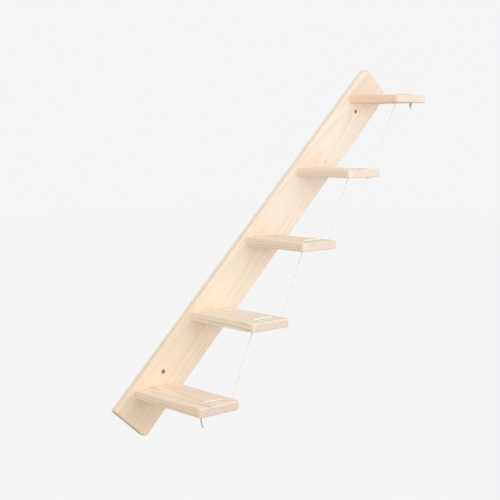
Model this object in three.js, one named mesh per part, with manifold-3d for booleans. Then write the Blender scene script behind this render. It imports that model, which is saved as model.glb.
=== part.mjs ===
// Climbing steps of solid pine that hang on a wall. One long board lies flat on the wall and climbs
// to the right. Level steps stand out from it, each shallower than the one below, and one white
// cord is laced through the front of all of them.
// Millimetres. +X runs to the right along the wall, +Y into the wall and +Z up.
// The origin is the middle of the board's back face, which lies on the wall.
import * as THREE from 'three';
import Module from 'manifold-3d';
import { mergeVertices } from 'three/addons/utils/BufferGeometryUtils.js';

const wasm = await Module();
wasm.setup();

// Board
const CLIMB_ANGLE = THREE.MathUtils.degToRad(43.5);
const BOARD_WIDTH = 100;
const BOARD_THICKNESS = 18;

// Both ends of the board are sawn a little out of square: its left edge stops short of the right one
// at the top and reaches past it at the bottom
const TOP_END_SKEW = THREE.MathUtils.degToRad(7);
const LOW_END_SKEW = THREE.MathUtils.degToRad(5);
const PEAK_CORNER = 12;
const BOARD_CORNER = 8;
const LOW_LEFT_CORNER = 4;

// Steps, counted from the lowest; their places are measured along the board from its lower end
const STEP_COUNT = 5;
const STEP_WIDTH = 104;
const STEP_THICKNESS = 18;
const STEP_CORNER = 10;
const LOWEST_STEP_DEPTH = 204;
const DEPTH_LOSS = 14;
const LOWEST_STATION = 89;
const LOWEST_PITCH = 208;
const STEP_PITCH = 216.5;
const TOP_PITCH = 245;
const TOP_MARGIN = 65;
const stations = [LOWEST_STATION];
for (let i = 1; i < STEP_COUNT; i += 1) {
  let pitch = STEP_PITCH;
  if (i === 1) pitch = LOWEST_PITCH;
  if (i === STEP_COUNT - 1) pitch = TOP_PITCH;
  stations.push(stations[i - 1] + pitch);
}
const topStation = stations[STEP_COUNT - 1];
const boardLength = topStation + TOP_MARGIN;

// Every sawn edge is rounded over by this much, the mouths of the lace holes too
const EDGE_RADIUS = 2.5;
const EDGE_FACETS = 3;
const CORNER_FACETS = 5;
const ROUND_FACETS = 16;

// Cord and the two holes for it in each step
const CORD_RADIUS = 1.5;
const CORD_SIDES = 8;
const CORD_BEND = 6;
const CORD_BEND_FACETS = 3;
const CORD_CLEARANCE = 1;
const LACE_HOLE_CLEARANCE = 1.5;
const LACE_HOLE_SPACING = 54;
const LACE_HOLE_SETBACK = 27;
const KNOT_RADIUS = 4.5;
const KNOT_HEIGHT = 8;
const KNOT_FACETS = 8;
const TOP_TAIL_LENGTH = 9;
const LOW_TAIL_LENGTH = 22;
const TOP_TAIL_LEAN = 0.6;
const LOW_TAIL_LEAN = 0.3;
const TAIL_LINKS = 3;

// Screws that hold each step, driven from behind the board
const STEP_SCREW_LENGTH = 60;
const STEP_SCREW_RADIUS = 2.5;
const STEP_SCREW_HEAD = 5;
const STEP_SCREW_SPACING = 60;

// Screws that hold the board on the wall
const WALL_SCREW_LENGTH = 60;
const WALL_SCREW_RADIUS = 2.5;
const WALL_SCREW_HEAD = 4.75;
const UPPER_WALL_SCREW_DROP = 41;
const LOWER_WALL_SCREW_RISE = 40;
const LOWER_WALL_SCREW_OFFSET = 13;

const HEAD_RIM = 0.6;
const HEAD_SINK = 0.5;
const SCREW_TIP = 6;
const SCREW_TIP_SHARE = 0.3;
const SEAT_GAP = 0.3;
const CUT_OVERRUN = 5;

const pine = new THREE.MeshStandardMaterial({ color: 0xf2dbbf, roughness: 0.62, metalness: 0 });
const cotton = new THREE.MeshStandardMaterial({ color: 0xf3f1ec, roughness: 0.9, metalness: 0 });
const zinc = new THREE.MeshStandardMaterial({ color: 0xb9bcc0, roughness: 0.4, metalness: 0.9 });
const bronzed = new THREE.MeshStandardMaterial({ color: 0xad8e69, roughness: 0.4, metalness: 0.9 });

const steps = new THREE.Group();

function place(name, geometry, material, parent) {
  const mesh = new THREE.Mesh(geometry, material);
  mesh.name = name;
  parent.add(mesh);
  return mesh;
}

function toSolid(geometry) {
  const bare = geometry.clone();
  bare.deleteAttribute('normal');
  bare.deleteAttribute('uv');
  const merged = mergeVertices(bare);
  return new wasm.Manifold(new wasm.Mesh({
    numProp: 3,
    vertProperties: new Float32Array(merged.attributes.position.array),
    triVerts: new Uint32Array(merged.index.array),
  }));
}

function toGeometry(solid) {
  const mesh = solid.getMesh();
  const geometry = new THREE.BufferGeometry();
  geometry.setAttribute('position', new THREE.BufferAttribute(mesh.vertProperties, mesh.numProp));
  geometry.setIndex(new THREE.BufferAttribute(mesh.triVerts, 1));
  geometry.computeVertexNormals();
  return geometry;
}

// A sawn slab with rounded-over edges, its outline in XY and its thickness from 0 up
function slab(outline, thickness) {
  const geometry = new THREE.ExtrudeGeometry(outline, {
    depth: thickness - 2 * EDGE_RADIUS,
    bevelEnabled: true,
    bevelThickness: EDGE_RADIUS,
    bevelSize: EDGE_RADIUS,
    bevelOffset: -EDGE_RADIUS,
    bevelSegments: EDGE_FACETS,
    curveSegments: CORNER_FACETS,
  });
  geometry.translate(0, 0, EDGE_RADIUS);
  return geometry;
}

// A countersunk screw that points to -Y, with its head's face at y = 0; grow widens it to its hole
function screwForm(length, radius, headRadius, grow) {
  const rim = HEAD_RIM + grow;
  const neck = rim + headRadius - radius;
  const profile = [
    new THREE.Vector2(0, -length - grow),
    new THREE.Vector2(radius * SCREW_TIP_SHARE + grow, SCREW_TIP * SCREW_TIP_SHARE - length),
    new THREE.Vector2(radius + grow, SCREW_TIP - length),
    new THREE.Vector2(radius + grow, -neck),
    new THREE.Vector2(headRadius + grow, -rim),
    new THREE.Vector2(headRadius + grow, 0),
  ];
  if (grow > 0) profile.push(new THREE.Vector2(headRadius + grow, CUT_OVERRUN));
  profile.push(new THREE.Vector2(0, profile[profile.length - 1].y));
  return new THREE.LatheGeometry(profile, ROUND_FACETS);
}

// Places along the board are measured from its lower end; offset goes up and to the left, across it
function onBoard(station, offset) {
  const along = station - boardLength / 2;
  return {
    x: along * Math.cos(CLIMB_ANGLE) - offset * Math.sin(CLIMB_ANGLE),
    z: along * Math.sin(CLIMB_ANGLE) + offset * Math.cos(CLIMB_ANGLE),
  };
}

// What each step is made from, lowest first
const levels = [];
stations.forEach((station, i) => {
  levels.push({
    number: i + 1,
    depth: LOWEST_STEP_DEPTH - i * DEPTH_LOSS,
    ...onBoard(station, 0),
  });
});
const screwSides = [
  { side: 'left', x: -STEP_SCREW_SPACING / 2 },
  { side: 'right', x: STEP_SCREW_SPACING / 2 },
];
const laceX = LACE_HOLE_SPACING / 2;
const laceHoleRadius = CORD_RADIUS + LACE_HOLE_CLEARANCE;

// Step: a plank that stands square on the board, with round front corners and two lace holes
function stepOutline(depth) {
  const half = STEP_WIDTH / 2;
  const back = EDGE_RADIUS;
  const outline = new THREE.Shape();
  outline.moveTo(half, back);
  outline.lineTo(-half, back);
  outline.lineTo(-half, STEP_CORNER - depth);
  outline.absarc(STEP_CORNER - half, STEP_CORNER - depth, STEP_CORNER, Math.PI, 1.5 * Math.PI, false);
  outline.absarc(half - STEP_CORNER, STEP_CORNER - depth, STEP_CORNER, 1.5 * Math.PI, 2 * Math.PI, false);
  for (const x of [-laceX, laceX]) {
    const hole = new THREE.Path();
    hole.absarc(x, LACE_HOLE_SETBACK - depth, laceHoleRadius, 0, 2 * Math.PI, true);
    outline.holes.push(hole);
  }
  return outline;
}

function stepGeometry(depth) {
  const plank = slab(stepOutline(depth), STEP_THICKNESS).translate(0, 0, -STEP_THICKNESS / 2);
  const sawOff = new THREE.BoxGeometry(
    STEP_WIDTH + 2 * CUT_OVERRUN, EDGE_RADIUS + CUT_OVERRUN, STEP_THICKNESS + 2 * CUT_OVERRUN);
  sawOff.translate(0, (EDGE_RADIUS + CUT_OVERRUN) / 2, 0);
  let solid = toSolid(plank).subtract(toSolid(sawOff));
  for (const { x } of screwSides) {
    const bore = screwForm(STEP_SCREW_LENGTH, STEP_SCREW_RADIUS, STEP_SCREW_HEAD, SEAT_GAP);
    bore.translate(x, BOARD_THICKNESS + SEAT_GAP - HEAD_SINK, 0);
    solid = solid.subtract(toSolid(bore));
  }
  return toGeometry(solid);
}

for (const level of levels) {
  const group = new THREE.Group();
  group.position.set(level.x, -BOARD_THICKNESS - SEAT_GAP, level.z);
  place(`step_${level.number}`, stepGeometry(level.depth), pine, group);
  for (const { side, x } of screwSides) {
    const form = screwForm(STEP_SCREW_LENGTH, STEP_SCREW_RADIUS, STEP_SCREW_HEAD, 0);
    const screw = place(`step_${level.number}_screw_${side}`, form, zinc, group);
    screw.position.set(x, BOARD_THICKNESS + SEAT_GAP - HEAD_SINK, 0);
  }
  steps.add(group);
}

// Wall screws sit in the board from the front, heads just below its face
const wallScrews = [
  { name: 'wall_screw_upper', ...onBoard(topStation - UPPER_WALL_SCREW_DROP, 0) },
  { name: 'wall_screw_lower', ...onBoard(LOWEST_STATION + LOWER_WALL_SCREW_RISE, LOWER_WALL_SCREW_OFFSET) },
];
for (const { name, x, z } of wallScrews) {
  const form = screwForm(WALL_SCREW_LENGTH, WALL_SCREW_RADIUS, WALL_SCREW_HEAD, 0);
  const screw = place(name, form.rotateX(Math.PI), bronzed, steps);
  screw.position.set(x, HEAD_SINK - BOARD_THICKNESS, z);
}

// The board's outline, laid along X with its left edge up; an arc rounds each corner, the peak's first
function boardOutline() {
  const halfLength = boardLength / 2;
  const halfWidth = BOARD_WIDTH / 2;
  const topShift = halfWidth * Math.tan(TOP_END_SKEW);
  const lowShift = halfWidth * Math.tan(LOW_END_SKEW);
  const corners = [
    { x: halfLength - topShift, y: halfWidth, radius: PEAK_CORNER },
    { x: -halfLength - lowShift, y: halfWidth, radius: LOW_LEFT_CORNER },
    { x: -halfLength + lowShift, y: -halfWidth, radius: BOARD_CORNER },
    { x: halfLength + topShift, y: -halfWidth, radius: BOARD_CORNER },
  ];
  const outline = new THREE.Shape();
  corners.forEach((corner, i) => {
    const before = corners[(i + corners.length - 1) % corners.length];
    const after = corners[(i + 1) % corners.length];
    const arriving = Math.atan2(corner.y - before.y, corner.x - before.x);
    let leaving = Math.atan2(after.y - corner.y, after.x - corner.x);
    if (leaving < arriving) leaving += 2 * Math.PI;
    const halfTurn = (leaving - arriving) / 2;
    const inward = (arriving + leaving + Math.PI) / 2;
    const reach = corner.radius / Math.cos(halfTurn);
    outline.absarc(
      corner.x + reach * Math.cos(inward), corner.y + reach * Math.sin(inward), corner.radius,
      arriving - Math.PI / 2, leaving - Math.PI / 2, false);
  });
  return outline;
}

// Board: a long plank with round corners, bored from behind for the steps and from the front for the wall
function boardGeometry() {
  const plank = slab(boardOutline(), BOARD_THICKNESS).rotateX(Math.PI / 2).rotateY(-CLIMB_ANGLE);
  let solid = toSolid(plank);
  for (const level of levels) {
    for (const side of screwSides) {
      const bore = screwForm(STEP_SCREW_LENGTH, STEP_SCREW_RADIUS, STEP_SCREW_HEAD, SEAT_GAP);
      bore.translate(level.x + side.x, -HEAD_SINK, level.z);
      solid = solid.subtract(toSolid(bore));
    }
  }
  for (const screw of wallScrews) {
    const bore = screwForm(WALL_SCREW_LENGTH, WALL_SCREW_RADIUS, WALL_SCREW_HEAD, SEAT_GAP);
    bore.rotateX(Math.PI).translate(screw.x, HEAD_SINK - BOARD_THICKNESS, screw.z);
    solid = solid.subtract(toSolid(bore));
  }
  return toGeometry(solid);
}
place('back_board', boardGeometry(), pine, steps);

// A cord's route with one ring of its tube at each of its points
class Route extends THREE.Curve {
  constructor(points) {
    super();
    this.points = points;
  }

  getPoint(t, target = new THREE.Vector3()) {
    const last = this.points.length - 1;
    const along = Math.min(Math.max(t, 0), 1) * last;
    const index = Math.min(Math.floor(along), last - 1);
    return target.lerpVectors(this.points[index], this.points[index + 1], along - index);
  }

  getUtoTmapping(u) {
    return u;
  }

  getTangent(t, target = new THREE.Vector3()) {
    const last = this.points.length - 1;
    const index = Math.round(t * last);
    const after = this.points[Math.min(index + 1, last)];
    const here = this.points[index];
    const before = this.points[Math.max(index - 1, 0)];
    const leaving = after.clone().sub(here).normalize();
    const arriving = here.clone().sub(before).normalize();
    return target.copy(leaving).add(arriving).normalize();
  }
}

function tube(points) {
  const section = new THREE.Shape();
  section.absarc(0, 0, CORD_RADIUS, 0, 2 * Math.PI, false);
  return new THREE.ExtrudeGeometry(section, {
    steps: points.length - 1,
    curveSegments: CORD_SIDES / 2,
    extrudePath: new Route(points),
  });
}

// Cord: it comes up through a step's right hole, lies along the top, goes down through the left hole,
// slants to the right edge of the next step and turns under that edge to the next right hole
function quarterBend(level, x, z, startQuarter, endQuarter) {
  const y = -BOARD_THICKNESS - SEAT_GAP - level.depth + LACE_HOLE_SETBACK;
  const points = [];
  for (let i = 0; i <= CORD_BEND_FACETS; i += 1) {
    const share = i / CORD_BEND_FACETS;
    const angle = (startQuarter + (endQuarter - startQuarter) * share) * Math.PI / 2;
    points.push(new THREE.Vector3(
      level.x + x + CORD_BEND * Math.cos(angle), y, level.z + z + CORD_BEND * Math.sin(angle)));
  }
  return points;
}

const cordLift = CORD_RADIUS + CORD_CLEARANCE;
const bendRise = STEP_THICKNESS / 2 + cordLift - CORD_BEND;
const sideX = STEP_WIDTH / 2 + cordLift;

function overTop(level) {
  return [
    ...quarterBend(level, laceX - CORD_BEND, bendRise, 0, 1),
    ...quarterBend(level, CORD_BEND - laceX, bendRise, 1, 2),
  ];
}

function underEdge(level) {
  return [
    ...quarterBend(level, sideX - CORD_BEND, -bendRise, 0, -1),
    ...quarterBend(level, laceX + CORD_BEND, -bendRise, -1, -2),
  ];
}

function lacePoint(level, x, z) {
  const y = -BOARD_THICKNESS - SEAT_GAP - level.depth + LACE_HOLE_SETBACK;
  return new THREE.Vector3(level.x + x, y, level.z + z);
}

const downward = [...levels].reverse();
const topLevel = downward[0];
const lowLevel = downward[downward.length - 1];
const stepUnderside = -STEP_THICKNESS / 2;
const mouthRadius = laceHoleRadius + EDGE_RADIUS;
const knotReach = KNOT_RADIUS + SEAT_GAP + EDGE_RADIUS;
const knotDrop = Math.sqrt(knotReach ** 2 - mouthRadius ** 2) - EDGE_RADIUS;
const knotMiddle = stepUnderside - knotDrop;
const knotTop = knotMiddle + KNOT_HEIGHT / 2 + SEAT_GAP;

const straightDown = new THREE.Vector3(0, 0, -1);
const lacing = [lacePoint(topLevel, laceX, knotTop)];
downward.forEach((level, i) => {
  if (i > 0) {
    const above = downward[i - 1];
    const start = lacePoint(above, -laceX, stepUnderside + EDGE_RADIUS);
    const turn = lacePoint(level, sideX, STEP_THICKNESS / 2 - EDGE_RADIUS);
    const slant = turn.clone().sub(start).normalize();
    const easing = slant.clone().add(straightDown).normalize().multiplyScalar(EDGE_RADIUS);
    lacing.push(start, start.clone().add(easing), turn.clone().sub(easing), turn);
    lacing.push(...underEdge(level));
  }
  lacing.push(...overTop(level));
});
lacing.push(lacePoint(lowLevel, -laceX, knotTop));
place('cord', tube(lacing), cotton, steps);

// Stopper knots under the first and the last hole, with a short tail of cord below each
function knotGeometry() {
  const profile = [];
  for (let i = 0; i <= KNOT_FACETS; i += 1) {
    const angle = (i / KNOT_FACETS) * Math.PI;
    profile.push(new THREE.Vector2(KNOT_RADIUS * Math.sin(angle), -KNOT_HEIGHT / 2 * Math.cos(angle)));
  }
  profile[0].x = 0;
  profile[KNOT_FACETS].x = 0;
  return new THREE.LatheGeometry(profile, ROUND_FACETS).rotateX(Math.PI / 2);
}

const cordEnds = [
  { end: 'top', level: topLevel, x: laceX, length: TOP_TAIL_LENGTH, lean: TOP_TAIL_LEAN },
  { end: 'low', level: lowLevel, x: -laceX, length: LOW_TAIL_LENGTH, lean: LOW_TAIL_LEAN },
];
for (const { end, level, x, length, lean } of cordEnds) {
  const middle = lacePoint(level, x, knotMiddle);
  const knot = place(`knot_${end}`, knotGeometry(), cotton, steps);
  knot.position.copy(middle);
  const start = middle.clone().setZ(middle.z - KNOT_HEIGHT / 2 - SEAT_GAP);
  const points = [start];
  for (let i = 1; i <= TAIL_LINKS; i += 1) {
    const share = i / TAIL_LINKS;
    const drop = length * share;
    points.push(start.clone().add(new THREE.Vector3(drop * share * lean, 0, -drop)));
  }
  place(`tail_${end}`, tube(points), cotton, steps);
}

export default steps;
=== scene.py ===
import math

import bmesh
import bpy
import numpy
from mathutils import Matrix, Vector


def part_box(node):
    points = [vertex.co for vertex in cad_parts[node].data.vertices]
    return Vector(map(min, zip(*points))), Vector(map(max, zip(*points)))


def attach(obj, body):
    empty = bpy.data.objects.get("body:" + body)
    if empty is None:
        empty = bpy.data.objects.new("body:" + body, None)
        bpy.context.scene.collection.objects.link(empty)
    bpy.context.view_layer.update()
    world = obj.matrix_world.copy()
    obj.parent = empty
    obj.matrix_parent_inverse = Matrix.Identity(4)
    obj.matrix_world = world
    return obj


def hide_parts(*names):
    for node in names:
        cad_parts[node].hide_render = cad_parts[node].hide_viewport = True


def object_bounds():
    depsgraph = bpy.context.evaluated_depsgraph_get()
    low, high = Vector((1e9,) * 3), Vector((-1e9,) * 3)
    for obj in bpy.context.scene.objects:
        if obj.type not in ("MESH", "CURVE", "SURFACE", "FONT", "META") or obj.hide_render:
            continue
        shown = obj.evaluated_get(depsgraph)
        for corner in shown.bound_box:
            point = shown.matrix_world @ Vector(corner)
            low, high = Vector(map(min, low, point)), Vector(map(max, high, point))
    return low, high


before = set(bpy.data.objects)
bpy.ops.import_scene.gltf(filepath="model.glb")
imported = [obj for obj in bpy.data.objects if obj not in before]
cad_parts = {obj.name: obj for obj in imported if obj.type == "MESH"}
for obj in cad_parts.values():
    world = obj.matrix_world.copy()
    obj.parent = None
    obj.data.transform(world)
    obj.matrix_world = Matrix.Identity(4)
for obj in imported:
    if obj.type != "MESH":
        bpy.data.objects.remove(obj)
cad_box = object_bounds()


# The camera stands to the left of the steps, a little above their middle, and looks slightly down.
# A long lens from about 2.4 m, as the nearly parallel edges of the steps show.
CAMERA_PLACE = (-1.6104, -1.7073, 0.2358)
CAMERA_TILT = math.radians(83.568)
CAMERA_TURN = math.radians(-42.793)
CAMERA_SENSOR_MM = 36
CAMERA_LENS_MM = 75.26

camera = bpy.data.objects.new("camera", bpy.data.cameras.new("camera"))
camera.location = CAMERA_PLACE
camera.rotation_euler = (CAMERA_TILT, 0, CAMERA_TURN)
camera.data.sensor_width = CAMERA_SENSOR_MM
camera.data.lens = CAMERA_LENS_MM
bpy.context.scene.collection.objects.link(camera)
bpy.context.scene.camera = camera
bpy.context.scene.view_settings.view_transform = "Standard"


# The cord is one length of white cotton, three strands twisted together. It is laced through two holes
# near the front of every step, drawn tight, and held by an overhand knot under its first and last hole.
STEP_NODES = sorted(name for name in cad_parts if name.removeprefix("step_").isdigit())
LACE_HOLE_SIDE = 0.027
LACE_HOLE_SETBACK = 0.027

# The line of the cord: its bends, how far its middle lies off the wood, how softly a slant begins and
# ends, and its two tails, which lean further out the lower they hang.
QUARTER_TURN = math.radians(90)
CORD_BEND = 0.006
BEND_POINTS = 8
CORD_LIFT = 0.0025
CORD_SLANT_EASE = 0.0025
TOP_TAIL = 0.0045
TOP_TAIL_LEAN = 0.9
LOW_TAIL = 0.0175
LOW_TAIL_LEAN = 0.3

# Its strands, which spread and thin where the twist comes loose at a tip.
TWIST_LENGTH = 0.0095
TWIST_STRANDS = 3
RINGS_PER_TWIST = 12
STRAND_RADIUS = 0.00076
STRAND_OFFSET = 0.00074
STRAND_SIDES = 8
LOOSE_END = 0.0045
LOOSE_SPREAD = 1.1
LOOSE_THINNING = 0.45

# Its cotton is painted grey for a length at each end, over the knots and tails under the top and lowest
# steps: painted shade, where the steps shade them. The fibre has so many waves a metre along the cord, and
# so many round each strand.
COTTON = (0.96, 0.955, 0.94, 1)
COTTON_SHADE = (0.88, 0.87, 0.845, 1)
PAINTED_SHADE_COTTON = (0.62, 0.605, 0.585, 1)
PAINTED_SHADE_END = 0.064
PAINTED_SHADE_FADE = 0.008
COTTON_FIBRE = (260, 9, 1)
COTTON_FIBRE_DETAIL = 3
COTTON_SHADED_UP_TO = 0.3
COTTON_CLEAR_FROM = 0.6
COTTON_ROUGHNESS = 0.9
COTTON_SHEEN = 0.25
COTTON_BUMP = 0.4
BUMP_DEPTH = 0.0002

# The knot is worked out in widths of its cord, each a little under the cord's own, so that its turns
# press into one another. It starts as an open loop of three lobes, whose ends lead away to either side.
KNOT_CORD = 0.0027
KNOT_DROP = 0.0042
KNOT_LOOP_POINTS = 80
KNOT_OPENING = 0.25
KNOT_LOBE = 2
KNOT_DEPTH = 1.2
KNOT_END_POINTS = 14
KNOT_END_REACH = 4
KNOT_END_FALL = 2.5
KNOT_START_SIZE = 0.75
KNOT_TIGHT_REACH = 2.6
KNOT_ROUNDS = 1200
KNOT_PULL = 0.02
KNOT_SMOOTHING = 0.5
KNOT_PUSHES = 2
KNOT_PUSH = 0.25
KNOT_OWN_LENGTH = 1.5
NO_ZERO = 1e-9


def tie_overhand():
    """The line of a tight overhand knot along X, its middle at zero, in widths of its cord.

    In each round its ends are pulled, the line between them is smoothed, and stretches of it that come
    closer than one width push each other off.
    """
    turn = numpy.linspace(numpy.pi + KNOT_OPENING, 3 * numpy.pi - KNOT_OPENING, KNOT_LOOP_POINTS)
    loop = numpy.stack([
        numpy.sin(turn) + KNOT_LOBE * numpy.sin(2 * turn),
        numpy.cos(turn) - KNOT_LOBE * numpy.cos(2 * turn),
        -KNOT_DEPTH * numpy.sin(3 * turn)], axis=1)
    reach = numpy.linspace(1, 0, KNOT_END_POINTS)[:-1, None]
    coming = loop[0] + reach * numpy.array([KNOT_END_REACH, -KNOT_END_FALL, 0])
    going = loop[-1] + reach[::-1] * numpy.array([-KNOT_END_REACH, -KNOT_END_FALL, 0])
    line = KNOT_START_SIZE * numpy.concatenate([coming, loop, going])
    goals = numpy.array([[KNOT_TIGHT_REACH, 0, 0], [-KNOT_TIGHT_REACH, 0, 0]])
    places = numpy.arange(len(line))
    apart_along = abs(numpy.subtract.outer(places, places))
    for _ in range(KNOT_ROUNDS):
        line[[0, -1]] += (goals - line[[0, -1]]) * KNOT_PULL
        line[1:-1] += KNOT_SMOOTHING * ((line[:-2] + line[2:]) / 2 - line[1:-1])
        spacing = numpy.linalg.norm(numpy.diff(line, axis=0), axis=1).mean()
        for _ in range(KNOT_PUSHES):
            apart = line[:, None] - line[None]
            gap = numpy.linalg.norm(apart, axis=2) + NO_ZERO
            touching = (gap < 1) & (apart_along * spacing > KNOT_OWN_LENGTH)
            push = (apart / gap[..., None] * numpy.where(touching, 1 - gap, 0)[..., None]).sum(axis=1)
            line[1:-1] += KNOT_PUSH * push[1:-1]
    return line


def bend(middle_x, middle_z, start, end):
    """Points on a bend of the cord about a middle, from one angle to another, in quarter turns."""
    quarters = [start + (end - start) * i / BEND_POINTS for i in range(BEND_POINTS + 1)]
    angles = [QUARTER_TURN * quarter for quarter in quarters]
    return [(middle_x + CORD_BEND * math.cos(a), middle_z + CORD_BEND * math.sin(a)) for a in angles]


def step_places():
    """The middle, line of holes and half sizes of each step, the top one first."""
    places = []
    for node in reversed(STEP_NODES):
        low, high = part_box(node)
        places.append({
            "x": (low[0] + high[0]) / 2,
            "z": (low[2] + high[2]) / 2,
            "hole_y": low[1] + LACE_HOLE_SETBACK,
            "half_width": (high[0] - low[0]) / 2,
            "half_thickness": (high[2] - low[2]) / 2,
        })
    return places


def cord_route():
    """The whole line of the cord, from the tip of its top tail to the tip of its low tail."""
    places = step_places()
    top, lowest = places[0], places[-1]
    route = []
    for level in places:
        x, y, z = level["x"], level["hole_y"], level["z"]
        half_thickness = level["half_thickness"]
        rise = half_thickness + CORD_LIFT - CORD_BEND
        if route:
            # It slants from inside the hole above to this step's right edge, and turns in under the step.
            above = route[-1]
            edge_x = level["half_width"] + CORD_LIFT
            start = Vector((above[0], above[1], above[2] - rise - half_thickness + CORD_SLANT_EASE))
            turn = Vector((x + edge_x, y, z + half_thickness - CORD_SLANT_EASE))
            ease = ((turn - start).normalized() + Vector((0, 0, -1))).normalized() * CORD_SLANT_EASE
            route += [tuple(start), tuple(start + ease), tuple(turn - ease), tuple(turn)]
            under = bend(edge_x - CORD_BEND, -rise, 0, -1) + bend(LACE_HOLE_SIDE + CORD_BEND, -rise, -1, -2)
            route += [(x + dx, y, z + dz) for dx, dz in under]
        over = bend(LACE_HOLE_SIDE - CORD_BEND, rise, 0, 1) + bend(CORD_BEND - LACE_HOLE_SIDE, rise, 1, 2)
        route += [(x + dx, y, z + dz) for dx, dz in over]
    knot = [Vector((across, out, along)) * KNOT_CORD for along, across, out in tie_overhand()]
    knot_z = -top["half_thickness"] - KNOT_DROP
    top_middle = Vector((top["x"] + LACE_HOLE_SIDE, top["hole_y"], top["z"] + knot_z))
    low_middle = Vector((lowest["x"] - LACE_HOLE_SIDE, lowest["hole_y"], lowest["z"] + knot_z))
    route = [top_middle + p for p in reversed(knot)] + route + [low_middle + p for p in knot]
    for length, lean, at_start in ((TOP_TAIL, TOP_TAIL_LEAN, True), (LOW_TAIL, LOW_TAIL_LEAN, False)):
        end = Vector(route[0 if at_start else -1])
        drops = [length * i / BEND_POINTS for i in range(1, BEND_POINTS + 1)]
        tail = [end + Vector((lean * drop * drop / length, 0, -drop)) for drop in drops]
        route = tail[::-1] + route if at_start else route + tail
    return route


def evenly(points, spacing):
    """The same line with its points a given distance apart."""
    points = numpy.array([tuple(p) for p in points])
    along = numpy.append(0, numpy.cumsum(numpy.linalg.norm(numpy.diff(points, axis=0), axis=1)))
    marks = numpy.linspace(0, along[-1], max(2, round(along[-1] / spacing) + 1))
    return numpy.stack([numpy.interp(marks, along, points[:, axis]) for axis in range(3)], axis=1)


def frames_along(line):
    """Two directions across a line at each of its points, turning no more than the line does."""
    tangents = numpy.gradient(line, axis=0)
    tangents /= numpy.linalg.norm(tangents, axis=1)[:, None]
    side = Vector(tangents[0]).orthogonal().normalized()
    frames = []
    for tangent in map(Vector, tangents):
        side = (side - tangent * side.dot(tangent)).normalized()
        frames.append((side.copy(), tangent.cross(side)))
    return frames


def twist_cord(name, route):
    """Strands that wind round the route, loosening and thinning at both of its ends."""
    spacing = TWIST_LENGTH / RINGS_PER_TWIST
    line = evenly(route, spacing)
    frames = frames_along(line)
    shape = bmesh.new()
    threads = shape.loops.layers.uv.new("thread")
    for strand in range(TWIST_STRANDS):
        rings = []
        for i, (point, (side, up)) in enumerate(zip(line, frames)):
            from_end = min(i, len(line) - 1 - i) * spacing
            loose = max(0, 1 - from_end / LOOSE_END)
            angle = math.tau * (strand / TWIST_STRANDS + i / RINGS_PER_TWIST)
            offset = STRAND_OFFSET * (1 + LOOSE_SPREAD * loose**2)
            middle = Vector(point) + offset * (math.cos(angle) * side + math.sin(angle) * up)
            radius = STRAND_RADIUS * (1 - LOOSE_THINNING * loose)
            ring = []
            for j in range(STRAND_SIDES):
                turn = angle + math.tau * j / STRAND_SIDES
                outwards = math.cos(turn) * side + math.sin(turn) * up
                ring.append(shape.verts.new(middle + radius * outwards))
            rings.append(ring)
        for i in range(len(rings) - 1):
            for j in range(STRAND_SIDES):
                k = (j + 1) % STRAND_SIDES
                face = shape.faces.new((rings[i][j], rings[i][k], rings[i + 1][k], rings[i + 1][j]))
                face.smooth = True
                corners = ((i, j), (i, j + 1), (i + 1, j + 1), (i + 1, j))
                for loop, (along, around) in zip(face.loops, corners):
                    loop[threads].uv = (along * spacing, around / STRAND_SIDES + strand)
        shape.faces.new(rings[0][::-1])
        shape.faces.new(rings[-1])
    mesh = bpy.data.meshes.new(name)
    shape.to_mesh(mesh)
    shape.free()
    piece = bpy.data.objects.new(name, mesh)
    bpy.context.scene.collection.objects.link(piece)
    return piece


def new_material(name):
    """An empty finish with its tree and its Principled shader."""
    finish = bpy.data.materials.new(name)
    finish.use_nodes = True
    return finish, finish.node_tree, finish.node_tree.nodes["Principled BSDF"]


def shader(tree, kind, sockets, **settings):
    """Adds a shader node; each socket gets a value or a link from another node's output."""
    made = tree.nodes.new("ShaderNode" + kind)
    for setting, value in settings.items():
        setattr(made, setting, value)
    for socket, value in sockets.items():
        if isinstance(value, bpy.types.NodeSocket):
            tree.links.new(value, made.inputs[socket])
        else:
            made.inputs[socket].default_value = value
    return made


def maths(tree, operation, *values, clamp=False):
    """The result of a sum on numbers or outputs."""
    return shader(tree, "Math", dict(enumerate(values)), operation=operation, use_clamp=clamp).outputs[0]


def stretched_noise(tree, place, scale, detail):
    """Noise that is drawn out along one way of a place, about one half."""
    drawn = shader(tree, "Mapping", {"Vector": place, "Scale": scale}).outputs[0]
    return shader(tree, "TexNoise", {"Vector": drawn, "Scale": 1, "Detail": detail})


def mix_colours(tree, share, first, second):
    """A colour between two others."""
    return shader(tree, "Mix", {"Factor": share, 6: first, 7: second}, data_type="RGBA").outputs[2]


def add_bump(tree, surface, height, strength):
    """Gives a surface a fine relief."""
    bump = shader(tree, "Bump", {"Height": height, "Strength": strength, "Distance": BUMP_DEPTH})
    tree.links.new(bump.outputs[0], surface.inputs["Normal"])


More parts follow.
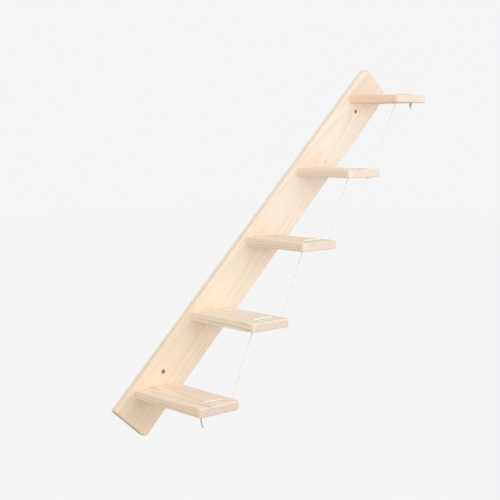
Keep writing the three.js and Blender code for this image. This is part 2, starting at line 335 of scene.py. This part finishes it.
def cotton_finish(total):
    """White cotton, with painted shade over its knots and tails under the end steps; total is the cord's
    whole length.
    """
    finish, tree, surface = new_material("white_cotton")
    thread = shader(tree, "UVMap", {}, uv_map="thread").outputs["UV"]
    fibre = stretched_noise(tree, thread, COTTON_FIBRE, COTTON_FIBRE_DETAIL).outputs[0]
    shade = shader(tree, "ValToRGB", {"Fac": fibre})
    shaded, clear = shade.color_ramp.elements
    shaded.position, shaded.color = COTTON_SHADED_UP_TO, COTTON_SHADE
    clear.position, clear.color = COTTON_CLEAR_FROM, COTTON
    along = shader(tree, "SeparateXYZ", {0: thread}).outputs["X"]
    from_end = maths(tree, "MINIMUM", along, maths(tree, "SUBTRACT", total, along))
    # The cotton's last few centimetres at each end, over its knots and tails, get painted shade from the
    # steps above.
    painted_shade = maths(tree, "DIVIDE", maths(tree, "SUBTRACT", PAINTED_SHADE_END, from_end), PAINTED_SHADE_FADE, clamp=True)
    tree.links.new(mix_colours(tree, painted_shade, shade.outputs[0], PAINTED_SHADE_COTTON), surface.inputs["Base Color"])
    add_bump(tree, surface, fibre, COTTON_BUMP)
    surface.inputs["Roughness"].default_value = COTTON_ROUGHNESS
    surface.inputs["Sheen Weight"].default_value = COTTON_SHEEN
    return finish


route = cord_route()
cord_length = sum((Vector(b) - Vector(a)).length for a, b in zip(route, route[1:]))
lacing = twist_cord("lacing", route)
lacing.data.materials.append(cotton_finish(cord_length))
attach(lacing, "root")
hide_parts("cord", "knot_top", "knot_low", "tail_top", "tail_low")


# Each step hangs on two zinc plated screws that are driven from behind the board, and the board on two
# brown bronzed ones driven from its front. All are countersunk, with a cross recess and a cut thread.
HEAD_RIM = 0.0006
RIM_EASE = 0.00015
SCREW_NECK = 0.0021
SCREW_CORE = 0.0017
SCREW_TIP = 0.006
SCREW_POINT = 0.00017
SCREW_SIDES = 32
SCREW_SMOOTH_ANGLE = math.radians(30)
SCREW_THREAD = 0.0025
THREAD_PITCH = 0.0024
THREAD_START = 0.022
THREAD_END = 0.0036
THREAD_RIDGE = 0.0006
THREAD_CORNERS = 3
RECESS_LENGTH = 0.0052
RECESS_WIDTH = 0.0011
RECESS_DEPTH = 0.0024
RECESS_TAPER = 0.8

ZINC = (0.70, 0.71, 0.73)
ZINC_ROUGHNESS = 0.32
BRONZE = (0.42, 0.27, 0.14)
BRONZE_ROUGHNESS = 0.34
PLATE_PATCHES = 900
PLATE_PATCH_DETAIL = 3
PLATE_GLOSS_SPREAD = 0.22
PLATE_TONE_SPREAD = 0.25


def turned_body(name, profile):
    """A round body on Z, drawn up from a disc through the given heights and radii."""
    bpy.ops.object.select_all(action="DESELECT")
    height, radius = profile[0]
    bpy.ops.mesh.primitive_circle_add(
        vertices=SCREW_SIDES, radius=radius, fill_type="NGON", location=(0, 0, height))
    body = bpy.context.object
    body.name = body.data.name = name
    bpy.ops.object.transform_apply(location=True)
    bpy.ops.object.mode_set(mode="EDIT")
    bpy.ops.mesh.select_all(action="SELECT")
    for (low, wide), (high, next_wide) in zip(profile, profile[1:]):
        bpy.ops.mesh.extrude_region_move(TRANSFORM_OT_translate={"value": (0, 0, high - low)})
        share = next_wide / wide
        bpy.ops.transform.resize(value=(share, share, 1))
    bpy.ops.mesh.select_all(action="SELECT")
    bpy.ops.mesh.normals_make_consistent(inside=False)
    bpy.ops.object.mode_set(mode="OBJECT")
    return body


def cut_with(block, tool):
    """Cuts a tool's shape out of a block, then takes the tool away."""
    cut = block.modifiers.new("cut", "BOOLEAN")
    cut.object = tool
    cut.solver = "EXACT"
    bpy.context.view_layer.objects.active = block
    bpy.ops.object.modifier_apply(modifier=cut.name)
    bpy.data.objects.remove(tool)


def cut_recess(body):
    """Cuts the cross that takes the driver into the head's face."""
    for quarter in (0, 1):
        bpy.ops.object.select_all(action="DESELECT")
        bpy.ops.mesh.primitive_cube_add(
            size=1, scale=(RECESS_LENGTH, RECESS_WIDTH, 2 * RECESS_DEPTH),
            rotation=(0, 0, quarter * QUARTER_TURN))
        blade = bpy.context.object
        blade_edge = blade.modifiers.new("taper", "SIMPLE_DEFORM")
        blade_edge.deform_method = "TAPER"
        blade_edge.deform_axis = "Z"
        blade_edge.factor = RECESS_TAPER
        bpy.ops.object.modifier_apply(modifier=blade_edge.name)
        cut_with(body, blade)


def cut_thread(length):
    """The thread's ridge, wound up the core from near the tip."""
    bpy.ops.object.select_all(action="DESELECT")
    bpy.ops.mesh.primitive_circle_add(
        vertices=THREAD_CORNERS, radius=THREAD_RIDGE, fill_type="NOTHING",
        rotation=(QUARTER_TURN, QUARTER_TURN, 0))
    thread = bpy.context.object
    bpy.ops.object.transform_apply(rotation=True)
    bpy.ops.object.mode_set(mode="EDIT")
    bpy.ops.mesh.select_all(action="SELECT")
    bpy.ops.transform.translate(value=(SCREW_THREAD - THREAD_RIDGE, 0, THREAD_END - length))
    bpy.ops.object.mode_set(mode="OBJECT")
    winding = thread.modifiers.new("winding", "SCREW")
    winding.axis = "Z"
    winding.iterations = round((length - THREAD_START - THREAD_END) / THREAD_PITCH)
    winding.screw_offset = THREAD_PITCH
    winding.steps = winding.render_steps = SCREW_SIDES
    bpy.ops.object.modifier_apply(modifier=winding.name)


def model_screw(name, length, head_radius):
    """A screw that points down from its head's face at the origin."""
    body = turned_body(name, [
        (-length, SCREW_POINT), (SCREW_TIP - length, SCREW_CORE), (-THREAD_START, SCREW_CORE),
        (SCREW_NECK - SCREW_CORE - THREAD_START, SCREW_NECK),
        (SCREW_NECK - head_radius - HEAD_RIM, SCREW_NECK), (-HEAD_RIM, head_radius),
        (-RIM_EASE, head_radius), (0, head_radius - RIM_EASE)])
    cut_recess(body)
    cut_thread(length)
    body.select_set(True)
    bpy.context.view_layer.objects.active = body
    bpy.ops.object.join()
    bpy.ops.object.shade_smooth_by_angle(angle=SCREW_SMOOTH_ANGLE)
    return body


def vary(tree, noise, middle, spread):
    """A number that a noise moves up and down about its middle."""
    return maths(tree, "MULTIPLY_ADD", noise, spread, middle - spread / 2)


def times(tree, colour, number):
    """A colour made lighter or darker by a number."""
    return shader(tree, "VectorMath", {0: colour, "Scale": number}, operation="SCALE").outputs[0]


def metal_finish(name, colour, roughness):
    """A plated surface with a faint uneven gloss."""
    finish, tree, surface = new_material(name)
    place = shader(tree, "TexCoord", {}).outputs["Object"]
    patches = {"Vector": place, "Scale": PLATE_PATCHES, "Detail": PLATE_PATCH_DETAIL}
    patch = shader(tree, "TexNoise", patches).outputs[0]
    tree.links.new(vary(tree, patch, roughness, PLATE_GLOSS_SPREAD), surface.inputs["Roughness"])
    tone = vary(tree, patch, 1, PLATE_TONE_SPREAD)
    tree.links.new(times(tree, colour, tone), surface.inputs["Base Color"])
    surface.inputs["Metallic"].default_value = 1
    return finish


zinc = metal_finish("zinc_plate", ZINC, ZINC_ROUGHNESS)
bronze = metal_finish("bronze_plate", BRONZE, BRONZE_ROUGHNESS)
for prefix, finish, slot, facing in (
        ("step", zinc, "zinc_steel", 1), ("wall", bronze, "bronzed_steel", -1)):
    nodes = sorted(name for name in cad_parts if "screw" in name and name.startswith(prefix))
    first_low, first_high = map(Vector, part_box(nodes[0]))
    pattern = model_screw(f"{prefix}_screw", first_high.y - first_low.y, (first_high.x - first_low.x) / 2)
    pattern.data.materials.clear()
    pattern.data.materials.append(finish)
    for node in nodes:
        low, high = map(Vector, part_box(node))
        head = Vector(((low.x + high.x) / 2, high.y if facing > 0 else low.y, (low.z + high.z) / 2))
        screw = bpy.data.objects.new(f"{node}_turned", pattern.data.copy())
        bpy.context.scene.collection.objects.link(screw)
        screw.data.transform(Matrix.Translation(head) @ Matrix.Rotation(-facing * QUARTER_TURN, 4, "X"))
        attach(screw, "root")
        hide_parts(node)
    bpy.data.objects.remove(pattern)


# The steps are planed pine, left pale. Their front corners are sawn round, and their edges are rounded
# over, save at the end that meets the board. Their grain runs out from the wall, and no bracket shows.
STEP_CORNER = 0.010
CORNER_SEGMENTS = 10
PLANK_EDGE = 0.0025
EDGE_SEGMENTS = 4
SMOOTH_ANGLE = math.radians(35)
LACE_HOLE_RADIUS = 0.003
LACE_HOLE_FACETS = 32
BORE_RADIUS = 0.0028
BORE_FACETS = 24
CUT_OVERRUN = 0.002
NEAR = 0.0002

# The wood: its colours, the places in a ring where late wood sets in with its share there, how the log
# widens and sways, and how strongly each mark shows.
EARLY_WOOD = (0.930, 0.805, 0.655, 1)
LATE_WOOD = (0.730, 0.490, 0.310, 1)
KNOT_WOOD = (0.400, 0.215, 0.110, 1)
PLAIN_TINT = (1.0, 1.0, 1.0, 1)
WARM_TINT = (1.0, 0.955, 0.925, 1)
LATE_WOOD_GROWS = ((0.40, 0.08), (0.76, 0.55), (0.90, 1.0))
LOG_TAPER = 0.022
SWAY_REACH = (0.013, 0, 0.013)
ALONG_KNOT = 0.6
KNOT_BULGE = 1.5
KNOT_DARKNESS = 0.75
STREAK_GAIN = 2.2
STREAK_START = -0.45
RESIN_GAIN = -6
RESIN_START = 5.1
RESIN_DARKNESS = 0.16
FIBRE_SPREAD = 0.14
BAND_SPREAD = 0.10
END_GRAIN_NARROWING = 3
PINE_ROUGHNESS = 0.55
PINE_ROUGHNESS_SPREAD = 0.2
RING_RELIEF = 0.3
PINE_BUMP = 0.22

# Noises in the wood: waves per metre across, along and through a plank, and how fine the detail is.
SWAY = ((10, 3.2, 10), 1.5)
STREAK = ((95, 4, 95), 2)
FIBRE = ((900, 18, 900), 4)
RESIN = ((1500, 60, 1500), 1)
BAND = ((34, 2.4, 34), 1)

# Each step was cut from its own place in a log, so its rings and tone differ from its neighbours'. The
# heart is measured from the step's middle, the ring is one year's growth, and the tints are those of the
# wall end, the front and the end grain. These tints are partly the wood's own tone and partly painted
# light: the end grain of the fronts is painted lighter and bluer up the flight, as if the higher fronts
# were lit more, and the top step's warm wall end is painted warm light on its left side. The top step
# holds its heart: the pith is the small dark spot in its front end.
STEP_GRAIN = (0, 0, math.radians(180))
STEP_FIGURE = 0.95
STEP_CUTS = {
    1: {"heart": (0.014, 0, -0.046), "ring": 0.0044,
        "tints": ((1.00, 1.00, 1.02), (1.02, 1.01, 1.02), (0.88, 0.87, 0.92))},
    2: {"heart": (-0.030, 0, -0.052), "ring": 0.0048,
        "tints": ((0.99, 1.02, 1.08), (1.00, 1.05, 1.12), (0.88, 0.89, 0.96))},
    3: {"heart": (0.012, 0, 0.048), "ring": 0.0041,
        "tints": ((0.97, 0.96, 0.98), (0.99, 0.99, 1.01), (0.89, 0.91, 0.98))},
    4: {"heart": (0.034, 0, 0.038), "ring": 0.0046,
        "tints": ((0.99, 0.99, 1.04), (1.00, 1.02, 1.10), (0.92, 0.95, 1.02))},
    5: {"heart": (0.002, 0, 0.001), "ring": 0.0040, "pith": 0.0011,
        "tints": ((1.02, 0.90, 0.82), (1.01, 0.95, 0.90), (0.97, 1.01, 1.10))},
}


def select_only(block):
    """Makes one piece the only selected one, and the active one."""
    bpy.ops.object.select_all(action="DESELECT")
    block.select_set(True)
    bpy.context.view_layer.objects.active = block


def add_block(name, low, high):
    """A plain block between two corners, selected by itself, with its place in its mesh."""
    bpy.ops.object.select_all(action="DESELECT")
    bpy.ops.mesh.primitive_cube_add(size=1, location=(low + high) / 2, scale=high - low)
    block = bpy.context.object
    block.name = block.data.name = name
    bpy.ops.object.transform_apply(location=True, rotation=True, scale=True)
    return block


def bevel_edges(block, chosen, offset, segments):
    """Rounds the edges that the test picks by their two ends."""
    bpy.ops.object.mode_set(mode="EDIT")
    bpy.ops.mesh.select_mode(type="EDGE")
    bpy.ops.mesh.select_all(action="DESELECT")
    shape = bmesh.from_edit_mesh(block.data)
    for edge in shape.edges:
        edge.select = chosen(edge.verts[0].co, edge.verts[1].co)
    bmesh.update_edit_mesh(block.data)
    bpy.ops.mesh.bevel(offset=offset, segments=segments, affect="EDGES")
    bpy.ops.object.mode_set(mode="OBJECT")


def drill(block, place, direction, radius, depth, facets, mouth=None, sink=0):
    """Bores a hole from a place along a direction; a mouth radius widens its start for a sunk head."""
    direction = Vector(direction)
    bits = [(radius, radius, -CUT_OVERRUN, depth)]
    if mouth:
        rim = sink + HEAD_RIM
        bits.append((mouth, radius, rim, rim + mouth - radius))
        bits.append((mouth, mouth, -CUT_OVERRUN, rim + NEAR / 2))
    for start_radius, end_radius, start, end in bits:
        bpy.ops.object.select_all(action="DESELECT")
        bpy.ops.mesh.primitive_cone_add(
            vertices=facets, radius1=start_radius, radius2=end_radius, depth=end - start,
            location=place + direction * (start + end) / 2,
            rotation=direction.to_track_quat("Z", "Y").to_euler())
        cut_with(block, bpy.context.object)


def finish_plank(block, finish):
    """Smooth rounded edges beside flat faces, the finish, and its place under the root body."""
    select_only(block)
    bpy.ops.object.shade_smooth_by_angle(angle=SMOOTH_ANGLE)
    weighted = block.modifiers.new("flat_faces", "WEIGHTED_NORMAL")
    weighted.keep_sharp = True
    bpy.ops.object.modifier_apply(modifier=weighted.name)
    block.data.materials.clear()
    block.data.materials.append(finish)
    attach(block, "root")


def vector_maths(tree, operation, *values):
    """The result of a sum on vectors."""
    return shader(tree, "VectorMath", dict(enumerate(values)), operation=operation).outputs[0]


def vector_length(tree, vector):
    """How long a vector is."""
    return shader(tree, "VectorMath", {0: vector}, operation="LENGTH").outputs["Value"]


def mix_tints(tree, share, first, second):
    """A tint between two others, which may be brighter than one."""
    return shader(tree, "Mix", {"Factor": share, 4: first, 5: second}, data_type="VECTOR").outputs[1]


def along_plank(tree, vector):
    """The share of a vector that runs along the plank."""
    return shader(tree, "SeparateXYZ", {0: vector}).outputs["Y"]


def pine_finish(name, middle, turn, length, heart, ring, tints, figure, pith=0.0, pin_knots=()):
    """Pine cut from a log whose heart runs along the plank's Y: its rings are tubes round that heart."""
    finish, tree, surface = new_material(name)
    ways = shader(tree, "TexCoord", {}).outputs
    plank = shader(
        tree, "Mapping", {"Vector": ways["Object"], "Location": middle, "Rotation": turn},
        vector_type="TEXTURE").outputs[0]
    facing = shader(
        tree, "Mapping", {"Vector": ways["Normal"], "Rotation": turn}, vector_type="TEXTURE").outputs[0]

    # The log was not quite straight: its rings sway and widen slowly along the plank.
    sway = vector_maths(
        tree, "SUBTRACT", stretched_noise(tree, plank, *SWAY).outputs["Color"], (0.5, 0.5, 0.5))
    swayed = vector_maths(tree, "ADD", plank, vector_maths(tree, "MULTIPLY", sway, SWAY_REACH))
    across = vector_maths(tree, "MULTIPLY", vector_maths(tree, "SUBTRACT", swayed, heart), (1, 0, 1))
    distance = vector_length(tree, across)
    along = along_plank(tree, plank)
    radius = maths(tree, "MULTIPLY_ADD", along, LOG_TAPER, distance)

    # Rings bend round a pin knot, which is darker in its middle.
    spots = maths(tree, "LESS_THAN", distance, pith)
    for knot_x, knot_y, knot_radius in pin_knots:
        away = vector_maths(tree, "SUBTRACT", plank, (knot_x, knot_y, 0))
        reach = vector_length(tree, vector_maths(tree, "MULTIPLY", away, (1, ALONG_KNOT, 0)))
        nearness = maths(tree, "DIVIDE", knot_radius, maths(tree, "ADD", reach, knot_radius))
        radius = maths(tree, "MULTIPLY_ADD", nearness, knot_radius * KNOT_BULGE, radius)
        spot = maths(tree, "SUBTRACT", 1, maths(tree, "DIVIDE", reach, knot_radius), clamp=True)
        spots = maths(tree, "MAXIMUM", spots, spot)

    # Each ring darkens towards its late wood, then ends; some years are fainter than others.
    rings = maths(tree, "FRACT", maths(tree, "DIVIDE", radius, ring))
    ramp = shader(tree, "ValToRGB", {"Fac": rings})
    for end in ramp.color_ramp.elements:
        end.color = EARLY_WOOD
    for position, share in LATE_WOOD_GROWS:
        late = ramp.color_ramp.elements.new(position)
        late.color = [e + (l - e) * share for e, l in zip(EARLY_WOOD, LATE_WOOD)]
    streak = stretched_noise(tree, plank, *STREAK).outputs[0]
    strength = maths(tree, "MULTIPLY_ADD", streak, STREAK_GAIN, STREAK_START, clamp=True)
    strength = maths(tree, "MULTIPLY", strength, figure)
    wood = mix_colours(tree, strength, EARLY_WOOD, ramp.outputs[0])

    # Fine fibre and short dark resin lines lie along the grain, and broad bands vary a little in tone.
    fibre = stretched_noise(tree, plank, *FIBRE).outputs[0]
    resin = stretched_noise(tree, plank, *RESIN).outputs[0]
    clean = maths(tree, "MULTIPLY_ADD", resin, RESIN_GAIN, RESIN_START, clamp=True)
    band = stretched_noise(tree, plank, *BAND).outputs[0]
    tone = maths(tree, "MULTIPLY_ADD", clean, RESIN_DARKNESS, 1 - RESIN_DARKNESS)
    tone = maths(tree, "MULTIPLY", vary(tree, fibre, 1, FIBRE_SPREAD), tone)
    tone = maths(tree, "MULTIPLY", tone, vary(tree, band, 1, BAND_SPREAD))
    wood = vector_maths(tree, "MULTIPLY", wood, mix_colours(tree, band, PLAIN_TINT, WARM_TINT))

    # The tint goes from the wall end to the front, and to that of the end grain where it is sawn across.
    # These tints are partly the wood's own tone and partly painted light and shade.
    wall_tint, front_tint, end_grain_and_light_tint = tints
    share = maths(tree, "MULTIPLY_ADD", along, 1 / length, 0.5, clamp=True)
    sawn_across = maths(tree, "ABSOLUTE", along_plank(tree, facing))
    sawn_across = maths(tree, "POWER", sawn_across, END_GRAIN_NARROWING)
    tint = mix_tints(tree, share, wall_tint, front_tint)
    tint = mix_tints(tree, sawn_across, tint, end_grain_and_light_tint)
    wood = times(tree, vector_maths(tree, "MULTIPLY", wood, tint), tone)
    wood = mix_colours(tree, maths(tree, "MULTIPLY", spots, KNOT_DARKNESS), wood, KNOT_WOOD)
    tree.links.new(wood, surface.inputs["Base Color"])
    tree.links.new(vary(tree, fibre, PINE_ROUGHNESS, PINE_ROUGHNESS_SPREAD), surface.inputs["Roughness"])
    add_bump(tree, surface, maths(tree, "MULTIPLY_ADD", rings, RING_RELIEF, fibre), PINE_BUMP)
    return finish


for number, cut in STEP_CUTS.items():
    low, high = map(Vector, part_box(f"step_{number}"))
    middle = (low + high) / 2
    step = add_block(f"plank_{number}", low, high)
    bevel_edges(
        step, lambda a, b: abs(a.z - b.z) > NEAR and min(a.y, b.y) < low.y + NEAR,
        STEP_CORNER, CORNER_SEGMENTS)
    bevel_edges(
        step, lambda a, b: min(a.y, b.y) < high.y - NEAR and abs(a.z - b.z) < NEAR,
        PLANK_EDGE, EDGE_SEGMENTS)
    for side in (-LACE_HOLE_SIDE, LACE_HOLE_SIDE):
        mouth = Vector((middle.x + side, low.y + LACE_HOLE_SETBACK, high.z))
        drill(step, mouth, (0, 0, -1), LACE_HOLE_RADIUS, high.z - low.z + CUT_OVERRUN, LACE_HOLE_FACETS)
        mouths = [mouth, Vector((mouth.x, mouth.y, low.z))]
        bevel_edges(
            step, lambda a, b: any(
                max((a - m).length, (b - m).length) < LACE_HOLE_RADIUS + NEAR for m in mouths),
            PLANK_EDGE, EDGE_SEGMENTS)
    for side in ("left", "right"):
        screw_low, screw_high = map(Vector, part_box(f"step_{number}_screw_{side}"))
        start = Vector(((screw_low.x + screw_high.x) / 2, high.y, middle.z))
        drill(step, start, (0, -1, 0), BORE_RADIUS, high.y - screw_low.y, BORE_FACETS)
    finish_plank(step, pine_finish(
        f"pine_step_{number}", middle, STEP_GRAIN, high.y - low.y, figure=STEP_FIGURE, **cut))
    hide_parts(f"step_{number}")


# The back board is one long pine plank at the slope of the flight, flat on the wall. It is bored from
# behind for the steps' screws and from the front for its own; its grain runs along it. Both its ends
# are sawn a little out of square.
CLIMB = math.radians(43.5)
BOARD_LENGTH = 1.04
BOARD_WIDTH = 0.10
TOP_END_SKEW = math.radians(7)
LOW_END_SKEW = math.radians(5)
PEAK_CORNER = 0.012
BOARD_CORNER = 0.008
LOW_LEFT_CORNER = 0.004
SEAT_GAP = 0.0003
BOARD_HEART = (-0.012, 0, -0.095)
BOARD_RING = 0.0052
# Its tints at the low end, the top end and the end grain; the darker end grain is partly the wood's own
# tone and partly painted shade on its sawn ends.
BOARD_TINTS = ((1.00, 0.965, 0.92), (1.01, 1.06, 1.13), (0.74, 0.66, 0.60))
BOARD_FIGURE = 0.38

# Its one pin knot: how far across the board and along it from the middle, and the knot's radius.
PIN_KNOTS = ((0.015, 0.257, 0.0032),)

board_low, board_high = map(Vector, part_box("back_board"))
board_middle = Vector((0, (board_low.y + board_high.y) / 2, 0))
board_half = Vector((BOARD_LENGTH, board_high.y - board_low.y, BOARD_WIDTH)) / 2
board = add_block("board", board_middle - board_half, board_middle + board_half)
for mesh_point in board.data.vertices:
    skew = TOP_END_SKEW if mesh_point.co.x > 0 else LOW_END_SKEW
    mesh_point.co.x -= mesh_point.co.z * math.tan(skew)
for at_top, on_left, corner in (
        (True, True, PEAK_CORNER), (True, False, BOARD_CORNER),
        (False, True, LOW_LEFT_CORNER), (False, False, BOARD_CORNER)):
    bevel_edges(
        board,
        lambda a, b: (
            abs(a.y - b.y) > NEAR and (a.x > 0) == at_top and (a.z > 0) == on_left
            and abs(a.z) > board_half.z - NEAR),
        corner, CORNER_SEGMENTS)
bevel_edges(board, lambda a, b: abs(a.y - b.y) < NEAR, PLANK_EDGE, EDGE_SEGMENTS)
select_only(board)
bpy.ops.transform.rotate(value=CLIMB, orient_axis="Y", center_override=board_middle)
bpy.ops.object.transform_apply(location=True, rotation=True, scale=True)
board_depth = board_high.y - board_low.y + CUT_OVERRUN
for name in sorted(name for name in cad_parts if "screw" in name):
    screw_low, screw_high = map(Vector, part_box(name))
    place = (screw_low + screw_high) / 2
    head_hole = (screw_high.x - screw_low.x) / 2 + SEAT_GAP
    from_front = name.startswith("wall")
    place.y = board_low.y if from_front else board_high.y
    sink = abs((screw_low if from_front else screw_high).y - place.y)
    inwards = (0, 1 if from_front else -1, 0)
    drill(board, place, inwards, BORE_RADIUS, board_depth, BORE_FACETS, head_hole, sink)
uphill, out = Vector((math.cos(CLIMB), 0, math.sin(CLIMB))), Vector((0, -1, 0))
board_grain = Matrix((uphill.cross(out), uphill, out)).transposed().to_euler()
finish_plank(board, pine_finish(
    "pine_board", board_middle, board_grain, BOARD_LENGTH, heart=BOARD_HEART, ring=BOARD_RING,
    tints=BOARD_TINTS, figure=BOARD_FIGURE, pin_knots=PIN_KNOTS))
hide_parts("back_board")


# Floor and light: a plain pale floor far below the steps, a soft box before their middle, and weaker
# light from the left and from above. What the camera sees of floor and backdrop is one even pale grey,
# with the floor's shadows faint in it.
BACKDROP = 0.913
FLOOR_DROP = 0.9
FLOOR_SIZE = 30
FLOOR_TONE = 0.60
FLOOR_LIT = 0.535
FLAT_SHARE = 0.85
WHITE = (1, 1, 1, 1)
FILL_COLOUR = (1.0, 0.99, 0.97, 1)
FILL_STRENGTH = 0.62
BOX_PLACE = (0.15, -1.3, 0.12)
BOX_SIZE = 1.1
BOX_POWER = 5.8
BOX_COLOUR = (0.96, 1.0, 1.10)
SUN_SPREAD = math.radians(60)
SUNS = {
    "side": {"strength": 0.95, "aim": (0.8, 0.6, -0.05), "colour": (1.05, 0.98, 0.90)},
    "overhead": {"strength": 0.60, "aim": (0.0, 0.25, -1.0), "colour": (1.0, 1.0, 1.0)},
}


def straight_look(tree):
    """One for what the camera sees straight, in a mirror or through glass, and zero for light."""
    seen = shader(tree, "LightPath", {}).outputs
    mirrored = maths(tree, "MAXIMUM", seen["Is Glossy Ray"], seen["Is Transmission Ray"])
    return maths(tree, "MAXIMUM", seen["Is Camera Ray"], mirrored)


def add_light(name, kind, aim):
    """A light that shines along its aim."""
    light = bpy.data.objects.new(name, bpy.data.lights.new(name, kind))
    light.rotation_euler = Vector(aim).to_track_quat("-Z", "Y").to_euler()
    bpy.context.scene.collection.objects.link(light)
    return light


bpy.ops.object.select_all(action="DESELECT")
bpy.ops.mesh.primitive_plane_add(size=FLOOR_SIZE, location=(0, 0, cad_box[0][2] - FLOOR_DROP))
floor = bpy.context.object
floor.name = "floor"
paper, tree, surface = new_material("pale_floor")
surface.inputs["Base Color"].default_value = (FLOOR_TONE, FLOOR_TONE, FLOOR_TONE, 1)
surface.inputs["Roughness"].default_value = 1
surface.inputs["Specular IOR Level"].default_value = 0
even = (BACKDROP - (1 - FLAT_SHARE) * FLOOR_LIT) / FLAT_SHARE
flat = shader(tree, "Emission", {"Color": WHITE, "Strength": even}).outputs[0]
share = maths(tree, "MULTIPLY", straight_look(tree), FLAT_SHARE)
mixed = shader(tree, "MixShader", {0: share, 1: surface.outputs[0], 2: flat}).outputs[0]
tree.links.new(mixed, tree.nodes["Material Output"].inputs["Surface"])
floor.data.materials.append(paper)

world = bpy.data.worlds.new("studio")
bpy.context.scene.world = world
world.use_nodes = True
tree = world.node_tree
fill = shader(tree, "Background", {"Color": FILL_COLOUR, "Strength": FILL_STRENGTH}).outputs[0]
plain = shader(tree, "Background", {"Color": WHITE, "Strength": BACKDROP}).outputs[0]
mixed = shader(tree, "MixShader", {0: straight_look(tree), 1: fill, 2: plain}).outputs[0]
tree.links.new(mixed, tree.nodes["World Output"].inputs["Surface"])

for name, sun in SUNS.items():
    lamp = add_light(name, "SUN", sun["aim"])
    lamp.data.energy = sun["strength"]
    lamp.data.color = sun["colour"]
    lamp.data.angle = SUN_SPREAD

soft_box = add_light("soft_box", "AREA", -Vector(BOX_PLACE))
soft_box.location = BOX_PLACE
soft_box.data.shape = "DISK"
soft_box.data.size = BOX_SIZE
soft_box.data.energy = BOX_POWER
soft_box.data.color = BOX_COLOUR
soft_box.visible_camera = False
